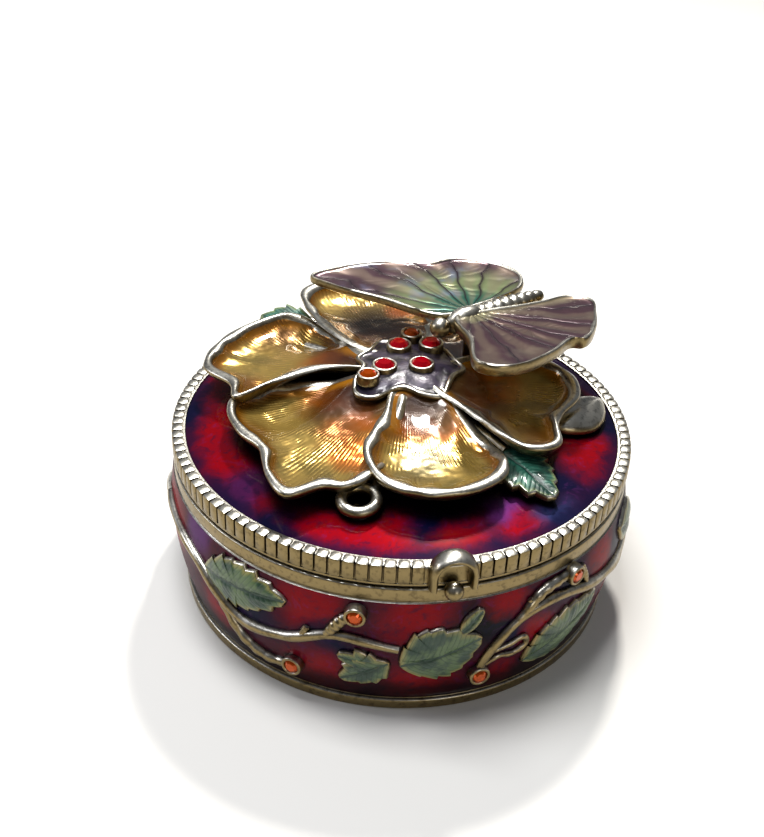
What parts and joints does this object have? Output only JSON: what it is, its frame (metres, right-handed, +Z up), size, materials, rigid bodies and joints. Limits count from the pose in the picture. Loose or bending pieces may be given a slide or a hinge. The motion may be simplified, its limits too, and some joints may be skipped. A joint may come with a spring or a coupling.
{
  "type": "enamelled trinket box",
  "caption": "Round cast-metal trinket box with a hinged lid, coloured enamel, a raised flower, a butterfly and small set stones.",
  "frame": {"origin": "centre of the flat underside that the box stands on", "axes": "+Z up, -Y towards the catch at the front, +Y towards the hinge"},
  "size_m": [0.0628, 0.0653, 0.0373],
  "materials": {
    "body_enamel": "crimson and navy translucent enamel over cast white metal, antique champagne-gold plated relief",
    "lid_enamel": "crimson and navy translucent enamel over cast white metal, plated milled rim",
    "petal_enamel": "honey-gold translucent enamel in plated rims",
    "wing_enamel": "plum and green translucent enamel in plated rims",
    "bare_metal": "antique champagne-gold plating, satin, worn",
    "red_stone": "foil-backed cut glass",
    "amber_stone": "foil-backed cut glass"
  },
  "bodies": {
    "base": {"body": "body_enamel", "hinge_pin": "bare_metal", "side_stone_1": "amber_stone", "side_stone_2": "amber_stone", "side_stone_3": "amber_stone", "side_stone_4": "amber_stone", "side_stone_5": "amber_stone", "side_stone_6": "amber_stone", "side_stone_7": "amber_stone", "side_stone_8": "amber_stone"},
    "cover": {"lid": "lid_enamel", "flower": "petal_enamel", "butterfly": "wing_enamel", "flower_stone_1": "red_stone", "flower_stone_2": "red_stone", "flower_stone_3": "red_stone", "flower_stone_4": "red_stone", "flower_stone_5": "amber_stone", "flower_stone_6": "amber_stone"}
  },
  "joints": [
    {"name": "lid_hinge", "type": "hinge", "parent": "base", "child": "cover", "pos_m": [0, 0.0319, 0.02045], "axis": [-1, 0, 0], "range_deg": [0, 95]}
  ]
}
